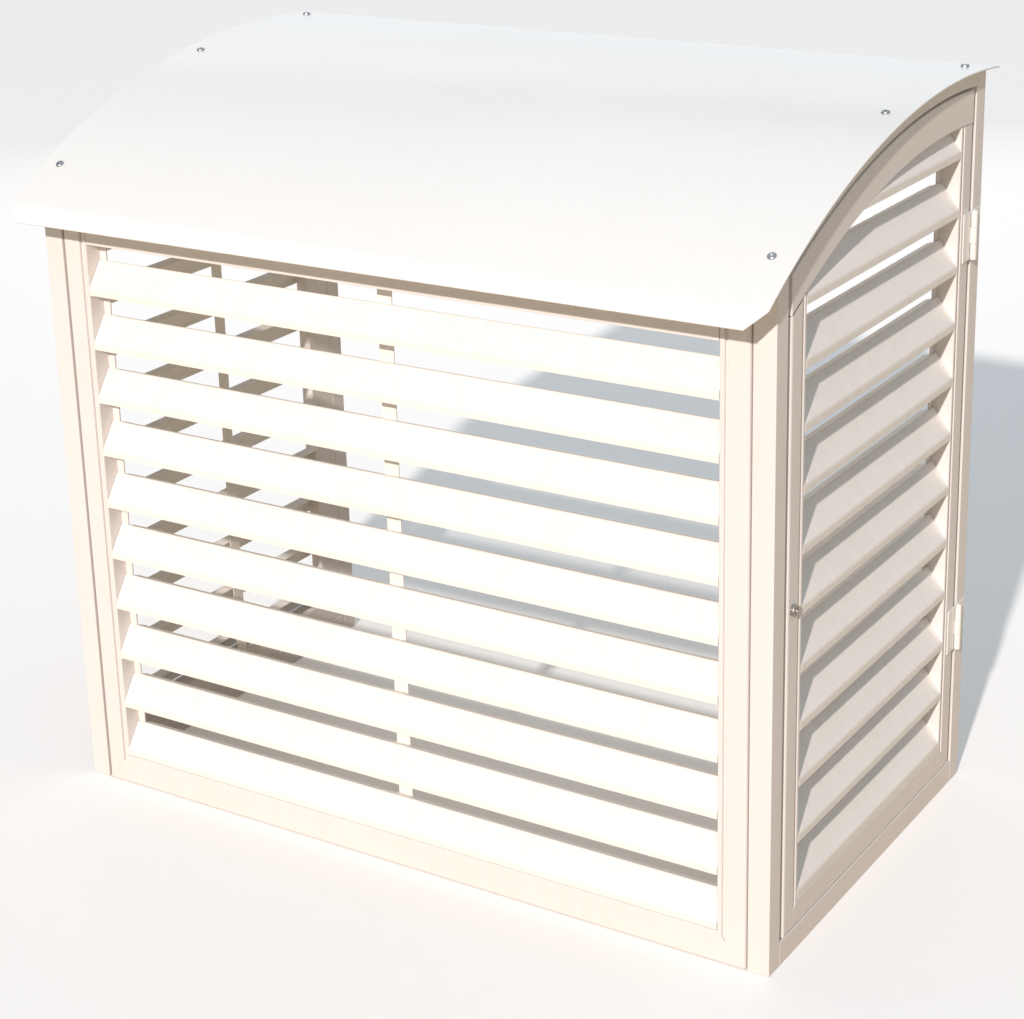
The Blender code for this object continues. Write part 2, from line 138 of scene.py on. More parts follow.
sky = bpy.data.worlds.new("pale_sky")
bpy.context.scene.world = sky
sky.use_nodes = True
sky_nodes = sky.node_tree.nodes
sky_wire = sky.node_tree.links.new
blue_sky = sky_nodes["Background"]
blue_sky.inputs["Color"].default_value = (0.74, 0.87, 1.0, 1.0)
blue_sky.inputs["Strength"].default_value = 0.45
seen_sky = sky_nodes.new("ShaderNodeBackground")
seen_sky.inputs["Color"].default_value = (0.97, 0.98, 1.0, 1.0)
seen_sky.inputs["Strength"].default_value = 0.95
sky_rays = sky_nodes.new("ShaderNodeLightPath")
sky_choice = sky_nodes.new("ShaderNodeMixShader")
sky_wire(sky_rays.outputs["Is Camera Ray"], sky_choice.inputs["Fac"])
sky_wire(blue_sky.outputs["Background"], sky_choice.inputs[1])
sky_wire(seen_sky.outputs["Background"], sky_choice.inputs[2])
sky_wire(sky_choice.outputs["Shader"], sky_nodes["World Output"].inputs["Surface"])

# The camera stands to the right, a little above the roof's middle, with a long lens.
camera_data = bpy.data.cameras.new("studio_camera")
camera_data.lens = 80.87
camera_data.sensor_width = 36.0
camera_data.shift_y = -0.10
camera = bpy.data.objects.new("studio_camera", camera_data)
bpy.context.scene.collection.objects.link(camera)
camera_right = Vector((0.8472, 0.5307, -0.0244)).normalized()
camera_ahead = Vector((-0.5095, 0.7986, -0.3205)).normalized()
camera_up = camera_right.cross(camera_ahead).normalized()
camera_right = camera_ahead.cross(camera_up)
turn = Matrix((camera_right, camera_up, -camera_ahead)).transposed().to_4x4()
camera.matrix_world = Matrix.Translation((1.4723, -2.2846, 1.4374)) @ turn
bpy.context.scene.camera = camera
bpy.context.scene.view_settings.view_transform = "Standard"


# Corner posts. Four square tubes, 27 mm, folded from sheet, with their tops cut to the slope of the roof.
# All that is painted gets the same baked powder coat, each part with its own sheen and dust.
CREAM = (0.825, 0.775, 0.745)
DUST = (0.60, 0.54, 0.45)
FRONT = -0.257
BACK = 0.303
SIDE = 0.500
POST = 0.027
ROOF_RADIUS = 0.970
ROOF_Y = 0.213
ROOF_Z = -0.032
UNDER_SHEET = 0.0025
FOLD = 0.0011
SAWN_OFF = 0.05
SMOOTH_BELOW = math.radians(40.0)


def powder_coat_skin():
    """Node group: a baked powder coat, out of doors. Orange peel, cloudy sheen and a little dust."""
    skin = bpy.data.node_groups.new("powder_coat_skin", "ShaderNodeTree")
    for label, kind in (
        ("Paint", "NodeSocketColor"),
        ("Dust", "NodeSocketColor"),
        ("Dust amount", "NodeSocketFloat"),
        ("Sheen", "NodeSocketFloat"),
        ("Sheen drift", "NodeSocketFloat"),
        ("Peel", "NodeSocketFloat"),
    ):
        skin.interface.new_socket(label, in_out="INPUT", socket_type=kind)
    for label, kind in (
        ("Colour", "NodeSocketColor"),
        ("Roughness", "NodeSocketFloat"),
        ("Normal", "NodeSocketVector"),
    ):
        skin.interface.new_socket(label, in_out="OUTPUT", socket_type=kind)
    nodes = skin.nodes
    wire = skin.links.new
    given = nodes.new("NodeGroupInput")
    result = nodes.new("NodeGroupOutput")
    place = nodes.new("ShaderNodeTexCoord")

    # Dust: soft clouds a hand wide, and faint runs where rain has drawn it down.
    clouds = nodes.new("ShaderNodeTexNoise")
    clouds.inputs["Scale"].default_value = 9.0
    clouds.inputs["Detail"].default_value = 5.0
    clouds.inputs["Roughness"].default_value = 0.6
    wire(place.outputs["Object"], clouds.inputs["Vector"])
    draw_down = nodes.new("ShaderNodeMapping")
    draw_down.inputs["Scale"].default_value = (70.0, 70.0, 3.0)
    wire(place.outputs["Object"], draw_down.inputs["Vector"])
    runs = nodes.new("ShaderNodeTexNoise")
    runs.inputs["Scale"].default_value = 1.0
    runs.inputs["Detail"].default_value = 2.0
    wire(draw_down.outputs["Vector"], runs.inputs["Vector"])
    both = nodes.new("ShaderNodeMath")
    both.operation = "MULTIPLY"
    wire(clouds.outputs["Fac"], both.inputs[0])
    wire(runs.outputs["Fac"], both.inputs[1])
    spread = nodes.new("ShaderNodeMapRange")
    spread.inputs["From Min"].default_value = 0.18
    spread.inputs["From Max"].default_value = 0.42
    wire(both.outputs["Value"], spread.inputs["Value"])
    amount = nodes.new("ShaderNodeMath")
    amount.operation = "MULTIPLY"
    wire(spread.outputs["Result"], amount.inputs[0])
    wire(given.outputs["Dust amount"], amount.inputs[1])
    blend = nodes.new("ShaderNodeMix")
    blend.data_type = "RGBA"
    first_colour, second_colour = blend.inputs[6], blend.inputs[7]
    mixed_colour = blend.outputs[2]
    wire(amount.outputs["Value"], blend.inputs["Factor"])
    wire(given.outputs["Paint"], first_colour)
    wire(given.outputs["Dust"], second_colour)
    wire(mixed_colour, result.inputs["Colour"])

    # Sheen: it drifts over the width of a hand, and dust dulls it.
    drift = nodes.new("ShaderNodeTexNoise")
    drift.inputs["Scale"].default_value = 14.0
    drift.inputs["Detail"].default_value = 3.0
    wire(place.outputs["Object"], drift.inputs["Vector"])
    centred = nodes.new("ShaderNodeMath")
    centred.operation = "SUBTRACT"
    centred.inputs[1].default_value = 0.5
    wire(drift.outputs["Fac"], centred.inputs[0])
    scaled = nodes.new("ShaderNodeMath")
    scaled.operation = "MULTIPLY"
    wire(centred.outputs["Value"], scaled.inputs[0])
    wire(given.outputs["Sheen drift"], scaled.inputs[1])
    sheen = nodes.new("ShaderNodeMath")
    sheen.operation = "ADD"
    wire(scaled.outputs["Value"], sheen.inputs[0])
    wire(given.outputs["Sheen"], sheen.inputs[1])
    dulled = nodes.new("ShaderNodeMath")
    dulled.operation = "MULTIPLY_ADD"
    dulled.inputs[1].default_value = 0.5
    dulled.use_clamp = True
    wire(amount.outputs["Value"], dulled.inputs[0])
    wire(sheen.outputs["Value"], dulled.inputs[2])
    wire(dulled.outputs["Value"], result.inputs["Roughness"])

    # Orange peel: low bumps about 2 mm across.
    peel = nodes.new("ShaderNodeTexNoise")
    peel.inputs["Scale"].default_value = 420.0
    peel.inputs["Detail"].default_value = 1.0
    wire(place.outputs["Object"], peel.inputs["Vector"])
    bumps = nodes.new("ShaderNodeBump")
    bumps.inputs["Distance"].default_value = 0.0002
    wire(peel.outputs["Fac"], bumps.inputs["Height"])
    wire(given.outputs["Peel"], bumps.inputs["Strength"])
    wire(bumps.outputs["Normal"], result.inputs["Normal"])
    return skin


coat_skin = powder_coat_skin()


def powder_coat(name, colour, dust, dust_amount, sheen, drift, peel):
    """A painted finish: the shared skin with this part's own values."""
    finish = bpy.data.materials.new(name)
    finish.use_nodes = True
    tree = finish.node_tree
    shader = tree.nodes["Principled BSDF"]
    skin = tree.nodes.new("ShaderNodeGroup")
    skin.node_tree = coat_skin
    skin.inputs["Paint"].default_value = (*colour, 1.0)
    skin.inputs["Dust"].default_value = (*dust, 1.0)
    skin.inputs["Dust amount"].default_value = dust_amount
    skin.inputs["Sheen"].default_value = sheen
    skin.inputs["Sheen drift"].default_value = drift
    skin.inputs["Peel"].default_value = peel
    shader.inputs["Specular IOR Level"].default_value = 0.45
    tree.links.new(skin.outputs["Colour"], shader.inputs["Base Color"])
    tree.links.new(skin.outputs["Roughness"], shader.inputs["Roughness"])
    tree.links.new(skin.outputs["Normal"], shader.inputs["Normal"])
    return finish


def block(name, low, high):
    """A cube primitive at its place, between two opposite corners."""
    set_down()
    middle = [(a + b) / 2 for a, b in zip(low, high)]
    lengths = [b - a for a, b in zip(low, high)]
    bpy.ops.mesh.primitive_cube_add(size=1.0, location=middle, scale=lengths)
    piece = bpy.context.object
    piece.name = name
    bpy.ops.object.transform_apply(location=True, rotation=True, scale=True)
    return piece


def hold(piece):
    """Makes the piece the only one that is selected."""
    set_down()
    piece.select_set(True)
    bpy.context.view_layer.objects.active = piece


def open_up(piece):
    """Takes the piece alone into edit mode."""
    hold(piece)
    bpy.ops.object.mode_set(mode="EDIT")


def saw(point, across, drop=False):
    """Cuts all of the piece in edit mode through a plane. With drop, what lies past it goes."""
    bpy.ops.mesh.select_all(action="SELECT")
    bpy.ops.mesh.bisect(plane_co=point, plane_no=across, use_fill=drop, clear_outer=drop)
    bpy.ops.mesh.select_all(action="SELECT")
    bpy.ops.mesh.sort_elements(type="CURSOR_DISTANCE", elements={"VERT", "EDGE", "FACE"})


def pick_faces(piece, test):
    """Selects the faces whose middle and normal pass the test."""
    bpy.ops.mesh.select_mode(type="FACE")
    bpy.ops.mesh.select_all(action="DESELECT")
    shape = bmesh.from_edit_mesh(piece.data)
    for face in shape.faces:
        if test(face.calc_center_median(), face.normal):
            face.select_set(True)
    bmesh.update_edit_mesh(piece.data)


def pick_edges(piece, test):
    """Selects the edges whose two ends both pass the test."""
    bpy.ops.mesh.select_mode(type="EDGE")
    bpy.ops.mesh.select_all(action="DESELECT")
    shape = bmesh.from_edit_mesh(piece.data)
    for edge in shape.edges:
        if all(test(corner.co) for corner in edge.verts):
            edge.select_set(True)
    bmesh.update_edit_mesh(piece.data)


def ease_edges(piece, radius, steps=3):
    """Rounds the sharp edges, as folded sheet and its paint are rounded."""
    hold(piece)
    rounding = piece.modifiers.new("eased_edges", "BEVEL")
    rounding.width = radius
    rounding.segments = steps
    rounding.limit_method = "ANGLE"
    rounding.angle_limit = SMOOTH_BELOW
    bpy.ops.object.modifier_apply(modifier="eased_edges")


def put_in(piece, name, body, nodes, finish):
    """Names, paints and smooths a finished piece, and puts it in place of its plain solids."""
    hold(piece)
    piece.name = name
    piece.data.name = name
    piece.data.materials.clear()
    piece.data.materials.append(finish)
    bpy.ops.object.shade_smooth_by_angle(angle=SMOOTH_BELOW)
    even = piece.modifiers.new("flat_faces", "WEIGHTED_NORMAL")
    even.keep_sharp = True
    bpy.ops.object.modifier_apply(modifier="flat_faces")
    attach(piece, body)
    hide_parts(*nodes)
    return piece


frame_paint = powder_coat("frame_powder_coat", CREAM, DUST, 0.10, 0.36, 0.10, 0.35)


def under_roof(y, inset):
    """Height of the curve that runs a set distance below the roof's upper side."""
    return ROOF_Z + math.sqrt((ROOF_RADIUS - inset) ** 2 - (y - ROOF_Y) ** 2)


for label, x in (("left", -SIDE), ("right", SIDE - POST)):
    for place, y in (("front", FRONT), ("rear", BACK - POST)):
        near = Vector((x, y, under_roof(y, UNDER_SHEET)))
        far = Vector((x, y + POST, under_roof(y + POST, UNDER_SHEET)))
        post = block("post", (x, y, 0.0), (x + POST, y + POST, far.z + SAWN_OFF))
        open_up(post)
        saw(near, Vector((1.0, 0.0, 0.0)).cross(far - near), drop=True)
        ease_edges(post, FOLD)
        node = "post_%s_%s" % (place, label)
        put_in(post, "corner_" + node, "frame", [node], frame_paint)


# Head rails. Folded sheet between the posts: the front one shows under the roof's lip, and the rear one
# closes the back under the roof's edge.
FIT = 0.0005
RAIL_END = SIDE - POST - FIT
PANEL_TOP = 0.776
REAR_RAIL = 0.030
front_rail = block(
    "rail",
    (-RAIL_END, FRONT, PANEL_TOP + FIT),
    (RAIL_END, FRONT + POST, under_roof(FRONT, UNDER_SHEET)),
)
ease_edges(front_rail, FOLD)
put_in(front_rail, "head_rail_front_fold", "frame", ["head_rail_front"], frame_paint)
rear_top = under_roof(BACK, UNDER_SHEET)
rear_rail = block("rail", (-RAIL_END, BACK - POST, rear_top - REAR_RAIL), (RAIL_END, BACK, rear_top))
ease_edges(rear_rail, FOLD)
put_in(rear_rail, "head_rail_rear_fold", "frame", ["head_rail_rear"], frame_paint)


# Sills and curved rails. They close each side between its posts: a straight sill on the floor, and a rail
# under the roof that is rolled to its curve, which the door closes against.
RAIL_FRONT = FRONT + POST + FIT
RAIL_BACK = BACK - POST - FIT
SILL = 0.030
ARCH_HEIGHT = 0.019
ROLL_STEPS = 32
SPARE_TURN = math.radians(1.0)
WELD = 0.00001


def angle_at(u, centre, radius):
    """The turn from straight up at which a circle reaches the place u."""
    return math.asin((u - centre) / radius)


def roll(piece, centre, turn):
    """Rolls the section held in edit mode round an axis along the second direction."""
    bpy.ops.mesh.select_all(action="SELECT")
    bpy.ops.mesh.spin(steps=ROLL_STEPS, angle=turn, center=centre, axis=(0.0, -1.0, 0.0))
    bpy.ops.mesh.select_all(action="SELECT")
    bpy.ops.mesh.remove_doubles(threshold=WELD)
    bpy.ops.mesh.normals_make_consistent(inside=False)


def stand(piece, wall):
    """Turns a piece that was made flat, face to the front, into its wall, and fixes it there."""
    hold(piece)
    piece.matrix_world = wall
    bpy.ops.object.transform_apply(location=True, rotation=True, scale=True)


RIGHT_WALL = Matrix.Translation((SIDE, 0.0, 0.0)) @ Matrix.Rotation(math.radians(90.0), 4, "Z")
LEFT_WALL = Matrix.Translation((-SIDE, 0.0, 0.0)) @ Matrix.Rotation(math.radians(-90.0), 4, "Z")
FRONT_WALL = Matrix.Translation((0.0, FRONT, 0.0))


def section(name, depth, outer, height, centre, start):
    """The upright cross-section of a curved rail, as a flat face at the turn where the rail starts."""
    set_down()
    outward = Vector((math.sin(start), 0.0, math.cos(start)))
    middle = Vector((centre, depth / 2, ROOF_Z)) + outward * (outer - height / 2)
    bpy.ops.mesh.primitive_plane_add(
        size=1.0,
        location=middle,
        rotation=(0.0, math.radians(90.0) + start, 0.0),
    )
    piece = bpy.context.object
    piece.name = name
    piece.scale = (height, depth, 1.0)
    bpy.ops.object.transform_apply(location=True, rotation=True, scale=True)
    return piece


for label, wall, side in (("right", RIGHT_WALL, 1), ("left", LEFT_WALL, -1)):
    sill = block("sill", (side * RAIL_FRONT, 0.0, 0.0), (side * RAIL_BACK, POST, SILL))
    # On the left side the two ends change places, which turns the cube inside out.
    open_up(sill)
    bpy.ops.mesh.select_all(action="SELECT")
    bpy.ops.mesh.normals_make_consistent(inside=False)
    ease_edges(sill, FOLD)
    stand(sill, wall)
    put_in(sill, "sill_fold_" + label, "frame", ["sill_" + label], frame_paint)

    centre = side * ROOF_Y
    outer = ROOF_RADIUS - UNDER_SHEET
    ends = sorted(side * y for y in (RAIL_FRONT, RAIL_BACK))
    turns = [angle_at(u, centre, outer - ARCH_HEIGHT) for u in ends]
    first = turns[0] - SPARE_TURN
    arch = section("arch", POST, outer, ARCH_HEIGHT, centre, first)
    open_up(arch)
    roll(arch, (centre, 0.0, ROOF_Z), turns[1] - turns[0] + 2.0 * SPARE_TURN)
    saw((ends[0], 0.0, 0.0), (-1.0, 0.0, 0.0), drop=True)
    saw((ends[1], 0.0, 0.0), (1.0, 0.0, 0.0), drop=True)
    ease_edges(arch, FOLD)
    stand(arch, wall)
    put_in(arch, "curved_rail_" + label, "frame", ["arch_" + label], frame_paint)


# Panel frames. The stiles are one rolled section: a flat face with a well rounded outer edge, a narrow
# groove, a raised bead, and a lip that turns in behind the slats. The rails are plain folds.
BAR = 0.036
BAR_DEPTH = 0.0265
GROOVE_FROM = 0.026
GROOVE_TO = 0.030
GROOVE_DEPTH = 0.004
LIP = 0.010
LIP_SHEET = 0.002
HEAD_RAIL = 0.040
MITRE_GAP = 0.00005
OUTER_EDGE = 0.0038
GROOVE_EDGE = 0.0010
BEAD_OUTSIDE = 0.0024
BEAD_INSIDE = 0.0016
SMALL_FOLD = 0.0006
ON_LINE = 0.0001
WASTE = 0.010
STOCK = 1.0
HALFWAY_UP = 0.3


def stile_bar(u, inward, low, high):
    """A stile with its outer edge at u. Its slats lie on the inward side, 1 or -1."""
    edges = sorted((u, u + inward * BAR))
    bar = block("bar", (edges[0], 0.0, low), (edges[1], BAR_DEPTH, high))
    across = Vector((inward, 0.0, 0.0))

    def reach_of(point):
        return (point.x - u) * inward

    open_up(bar)
    for reach in (GROOVE_FROM, GROOVE_TO):
        saw(Vector((u, 0.0, 0.0)) + across * reach, across)
    pick_faces(bar, lambda point, normal: normal.y < -0.9 and GROOVE_FROM < reach_of(point) < GROOVE_TO)
    bpy.ops.mesh.extrude_region_move(TRANSFORM_OT_translate={"value": (0.0, GROOVE_DEPTH, 0.0)})
    saw((0.0, BAR_DEPTH - LIP_SHEET, 0.0), (0.0, 1.0, 0.0))
    pick_faces(
        bar,
        lambda point, normal: normal.dot(across) > 0.9
        and point.y > BAR_DEPTH - LIP_SHEET
        and reach_of(point) > GROOVE_TO,
    )
    bpy.ops.mesh.extrude_region_move(TRANSFORM_OT_translate={"value": across * LIP})
    for reach, radius in (
        (0.0, OUTER_EDGE),
        (GROOVE_FROM, GROOVE_EDGE),
        (GROOVE_TO, BEAD_OUTSIDE),
        (BAR, BEAD_INSIDE),
    ):
        pick_edges(bar, lambda corner: corner.y < ON_LINE and abs(reach_of(corner) - reach) < 2.0 * ON_LINE)
        bpy.ops.mesh.bevel(offset=radius, segments=4, affect="EDGES")
    ease_edges(bar, SMALL_FOLD)
    return bar


def trim(piece, first, second, inside, gap):
    """Saws a bar off, a gap inside the line from first to second, and keeps the end with inside."""
    run = Vector((second[0] - first[0], 0.0, second[1] - first[1]))
    across = run.cross(Vector((0.0, 1.0, 0.0))).normalized()
    corner = Vector((first[0], 0.0, first[1]))
    if (Vector((inside[0], 0.0, inside[1])) - corner).dot(across) > 0.0:
        across.negate()
    open_up(piece)
    saw(corner - across * gap, across, drop=True)


def mitred_foot(left, right, foot, height, stiles):
    """The lower rail of a panel. Its ends and the stiles' feet are mitred together."""
    rail = block("bar", (left - WASTE, 0.0, foot), (right + WASTE, BAR_DEPTH, foot + height))
    ease_edges(rail, FOLD)
    middle = (left + right) / 2
    for stile, u, inward in zip(stiles, (left, right), (1, -1)):
        outer = (u, foot)
        inner = (u + inward * BAR, foot + height)
        trim(stile, outer, inner, (u, foot + HALFWAY_UP), MITRE_GAP)
        trim(rail, outer, inner, (middle, foot), MITRE_GAP)
    return rail


def side_panel(wall, left, right, foot, centre, radius):
    """The frame of a side panel. Its curved head rail runs over both stiles, up to the circle."""

    def under_rail(u):
        return ROOF_Z + math.sqrt((radius - HEAD_RAIL) ** 2 - (u - centre) ** 2)

    stiles = [stile_bar(u, inward, foot - WASTE, STOCK) for u, inward in ((left, 1), (right, -1))]
    rail = mitred_foot(left, right, foot, SIDE_SLATS_FROM - foot, stiles)
    for stile, u, inward in zip(stiles, (left, right), (1, -1)):
        far = u + inward * (BAR + LIP)
        trim(stile, (u, under_rail(u)), (far, under_rail(far)), (u, foot + HALFWAY_UP), FIT)
    turns = [angle_at(u, centre, radius - HEAD_RAIL) for u in (left, right)]
    head = section("bar", BAR_DEPTH, radius, HEAD_RAIL, centre, turns[0] - 1.5 * SPARE_TURN)
    open_up(head)
    roll(head, (centre, 0.0, ROOF_Z), turns[1] - turns[0] + 3.0 * SPARE_TURN)
    saw((left, 0.0, 0.0), (-1.0, 0.0, 0.0), drop=True)
    saw((right, 0.0, 0.0), (1.0, 0.0, 0.0), drop=True)
    ease_edges(head, FOLD)
    bars = {"stile_left": stiles[0], "stile_right": stiles[1], "foot": rail, "head": head}
    for bar in bars.values():
        stand(bar, wall)
    return bars


PANEL_GAP = 0.0025
PANEL_SIDE = SIDE - POST - PANEL_GAP
PANEL_FOOT = 0.001
FRONT_SLATS_FROM = 0.040
SIDE_SLATS_FROM = 0.064
front_stiles = [stile_bar(side * PANEL_SIDE, -side, PANEL_FOOT - WASTE, PANEL_TOP) for side in (-1, 1)]
foot_height = FRONT_SLATS_FROM - PANEL_FOOT
front_bars = {
    "foot": mitred_foot(-PANEL_SIDE, PANEL_SIDE, PANEL_FOOT, foot_height, front_stiles),
    "head": block(
        "bar",
        (BAR + FIT - PANEL_SIDE, 0.0, PANEL_TOP - HEAD_RAIL),
        (PANEL_SIDE - BAR - FIT, BAR_DEPTH - LIP_SHEET - FIT, PANEL_TOP),
    ),
}
ease_edges(front_bars["head"], FOLD)
front_bars["stile_left"], front_bars["stile_right"] = front_stiles
for bar in front_bars.values():
    stand(bar, FRONT_WALL)

# The lock's cam turns into a slot that is cut in the back of the front panel's right stile.
KEEPER_LOW = (0.4665, -0.2395, 0.422)
KEEPER_HIGH = (0.4715, -0.2285, 0.4515)
keeper = block("keeper", KEEPER_LOW, KEEPER_HIGH)


def cut_away(piece, tool, how="DIFFERENCE"):
    """Cuts a piece with a tool, which stays for the next cut."""
    hold(piece)
    cut = piece.modifiers.new("cut", "BOOLEAN")
    cut.operation = how
    cut.object = tool
    cut.solver = "EXACT"
    bpy.ops.object.modifier_apply(modifier="cut")


cut_away(front_bars["stile_right"], keeper)
bpy.data.objects.remove(keeper)
for part, node in (("stile_left", "front_stile_1"), ("stile_right", "front_stile_2")):
    put_in(front_bars[part], "front_panel_" + part, "frame", [node], frame_paint)
put_in(front_bars["foot"], "front_panel_foot", "frame", ["front_rail_foot"], frame_paint)
put_in(front_bars["head"], "front_panel_head", "frame", ["front_rail_head"], frame_paint)

DOOR_GAP = 0.008
DOOR_TOP_GAP = 0.0035
DOOR_FOOT = 0.032
DOOR_LEFT = FRONT + POST + DOOR_GAP
DOOR_RIGHT = BACK - POST - DOOR_GAP
DOOR_RADIUS = ROOF_RADIUS - UNDER_SHEET - ARCH_HEIGHT - DOOR_TOP_GAP
door_bars = side_panel(RIGHT_WALL, DOOR_LEFT, DOOR_RIGHT, DOOR_FOOT, ROOF_Y, DOOR_RADIUS)

LEFT_RADIUS = ROOF_RADIUS - UNDER_SHEET - ARCH_HEIGHT - FIT
left_bars = side_panel(LEFT_WALL, -RAIL_BACK, -RAIL_FRONT, SILL + FIT, -ROOF_Y, LEFT_RADIUS)
for part, node in (
    ("stile_right", "left_stile_1"),
    ("stile_left", "left_stile_2"),
    ("foot", "left_rail_foot"),
    ("head", "left_rail_head"),
):
    put_in(left_bars[part], "left_panel_" + part, "frame", [node], frame_paint)


# Louvre slats. Each is one folded strip: a lip that stands in the frame's face, a blade that slopes up
# and in, and a short return behind, cut back at both ends. Their ends are welded to the stiles.
FRONT_SLATS = 10
SIDE_SLATS = 12
CUT_SLATS = 2
SLAT_PITCH = 0.070
SLAT_SHEET = 0.0015
SLAT_GAP = 0.0004
SLAT_FOLD = 0.0018
SLAT_FACE = SLAT_SHEET / 2
SLAT_FOOT = 0.0008
SLAT_LIP = 0.0098
BLADE_IN = 0.02175
BLADE_UP = 0.0307
RETURN_IN = 0.0117
RETURN_DOWN = 0.0037
RETURN_CUT = 0.0104
FINE_FOLD = 0.0003
CURVE_SIDES = 384
CURVE_DEPTH = 0.2
# Painted highlight: the slats and backing strips get the same coat as the frame, painted lighter than its
# cream to show the brighter light that the blades' upturned faces catch.
lightened_slat_paint = powder_coat("slat_powder_coat_lightened", (0.90, 0.855, 0.80), DUST, 0.14, 0.40, 0.12, 0.35)


def face_outwards(piece, outwards):
    """Turns the faces of the sheet in edit mode so that most of their area looks outwards."""
    bpy.ops.mesh.select_all(action="SELECT")
    bpy.ops.mesh.normals_make_consistent(inside=False)
    faces = bmesh.from_edit_mesh(piece.data).faces
    if sum(face.normal.dot(outwards) * face.calc_area() for face in faces) < 0.0:
        bpy.ops.mesh.flip_normals()


def give_thickness(piece, thickness, offset):
    """Makes the faces a closed sheet, with the offset saying on which side of them it lies."""
    hold(piece)
    sheet = piece.modifiers.new("sheet", "SOLIDIFY")
    sheet.thickness = thickness
    sheet.offset = offset
    sheet.use_even_offset = True
    bpy.ops.object.modifier_apply(modifier="sheet")


def louvre_slat(length, with_return=True):
    """A slat that lies along the first direction, with the middle of its lower edge at the origin."""
    set_down()
    bpy.ops.mesh.primitive_plane_add(size=1.0, rotation=(math.radians(90.0), 0.0, 0.0))
    slat = bpy.context.object
    slat.location = (0.0, SLAT_FACE, (SLAT_FOOT + SLAT_LIP) / 2)
    slat.scale = (length, SLAT_LIP - SLAT_FOOT, 1.0)
    bpy.ops.object.transform_apply(location=True, rotation=True, scale=True)
    blade_top = SLAT_LIP + BLADE_UP
    return_from = length / 2 - RETURN_CUT
    open_up(slat)
    pick_edges(slat, lambda corner: corner.z > SLAT_LIP - ON_LINE)
    bpy.ops.mesh.extrude_edges_move(TRANSFORM_OT_translate={"value": (0.0, BLADE_IN, BLADE_UP)})
    pick_edges(slat, lambda corner: corner.z > blade_top - ON_LINE)
    if with_return:
        bpy.ops.mesh.extrude_edges_move(TRANSFORM_OT_translate={"value": (0.0, RETURN_IN, -RETURN_DOWN)})
        for side in (-1, 1):
            saw((side * return_from, 0.0, 0.0), (1.0, 0.0, 0.0))
        pick_faces(
            slat,
            lambda point, normal: point.y > SLAT_FACE + BLADE_IN and abs(point.x) > return_from,
        )
        bpy.ops.mesh.delete(type="FACE")
    pick_edges(
        slat,
        lambda corner: min(abs(corner.z - SLAT_LIP), abs(corner.z - blade_top)) < 3.0 * ON_LINE,
    )
    bpy.ops.mesh.bevel(offset=SLAT_FOLD, segments=4, affect="EDGES")
    face_outwards(slat, Vector((0.0, -1.0, 0.0)))
    give_thickness(slat, SLAT_SHEET, 0.0)
    ease_edges(slat, FINE_FOLD, 2)
    return slat


def copy_at(pattern, offset):
    """A copy of the piece with its own mesh, moved and fixed there."""
    hold(pattern)
    bpy.ops.object.duplicate(linked=False)
    twin = bpy.context.object
    twin.location = offset
    bpy.ops.object.transform_apply(location=True, rotation=True, scale=True)
    return twin


def side_slats(middle, length, centre, radius):
    """A side's slats from the foot up. The top two are cut to the circle, the last has no return."""
    pattern = louvre_slat(length)
    top_pattern = louvre_slat(length, with_return=False)
    set_down()
    bpy.ops.mesh.primitive_cylinder_add(
        vertices=CURVE_SIDES,
        radius=radius,
        depth=CURVE_DEPTH,
        location=(centre, 0.0, ROOF_Z),
        rotation=(math.radians(90.0), 0.0, 0.0),
    )
    curve = bpy.context.object
    bpy.ops.object.transform_apply(location=True, rotation=True, scale=True)
    slats = []
    for i in range(SIDE_SLATS):
        height = SIDE_SLATS_FROM + FIT + i * SLAT_PITCH
        slat = copy_at(top_pattern if i == SIDE_SLATS - 1 else pattern, (middle, 0.0, height))
        if i >= SIDE_SLATS - CUT_SLATS:
            cut_away(slat, curve, "INTERSECT")
        slats.append(slat)
    for tool in (pattern, top_pattern, curve):
        bpy.data.objects.remove(tool)
    return slats


front_length = 2 * (PANEL_SIDE - BAR - SLAT_GAP)
pattern = louvre_slat(front_length)
for i in range(FRONT_SLATS):
    slat = copy_at(pattern, (0.0, 0.0, FRONT_SLATS_FROM + FIT + i * SLAT_PITCH))
    stand(slat, FRONT_WALL)
    put_in(slat, "front_louvre_%02d" % (i + 1), "frame", ["front_slat_%02d" % (i + 1)], lightened_slat_paint)
bpy.data.objects.remove(pattern)

door_middle = (DOOR_LEFT + DOOR_RIGHT) / 2
door_length = DOOR_RIGHT - DOOR_LEFT - 2 * (BAR + SLAT_GAP)
door_slats = side_slats(door_middle, door_length, ROOF_Y, DOOR_RADIUS - HEAD_RAIL - FIT)
for i, slat in enumerate(door_slats):
    stand(slat, RIGHT_WALL)
    put_in(slat, "door_louvre_%02d" % (i + 1), "door", ["door_slat_%02d" % (i + 1)], lightened_slat_paint)


# Backing strips. A flat bar runs down behind the front slats, and another behind those of the left side,
# which are all welded to it but the top one.
STRIP_WIDTH = 0.020
STRIP_FROM = -0.024
LEFT_STRIP_FROM = -0.033
STRIP_DEPTHS = (0.0357, 0.0377)
LEFT_STRIP_DEPTHS = (0.0345, 0.0357)
STRIP_END = 0.004
STRIP_FOLD = 0.0004
strip = block(
    "strip",
    (STRIP_FROM, STRIP_DEPTHS[0], FRONT_SLATS_FROM),
    (STRIP_FROM + STRIP_WIDTH, STRIP_DEPTHS[1], PANEL_TOP - HEAD_RAIL),
)
ease_edges(strip, STRIP_FOLD, 2)
stand(strip, FRONT_WALL)
put_in(strip, "front_backing_strip", "frame", ["front_strip"], lightened_slat_paint)

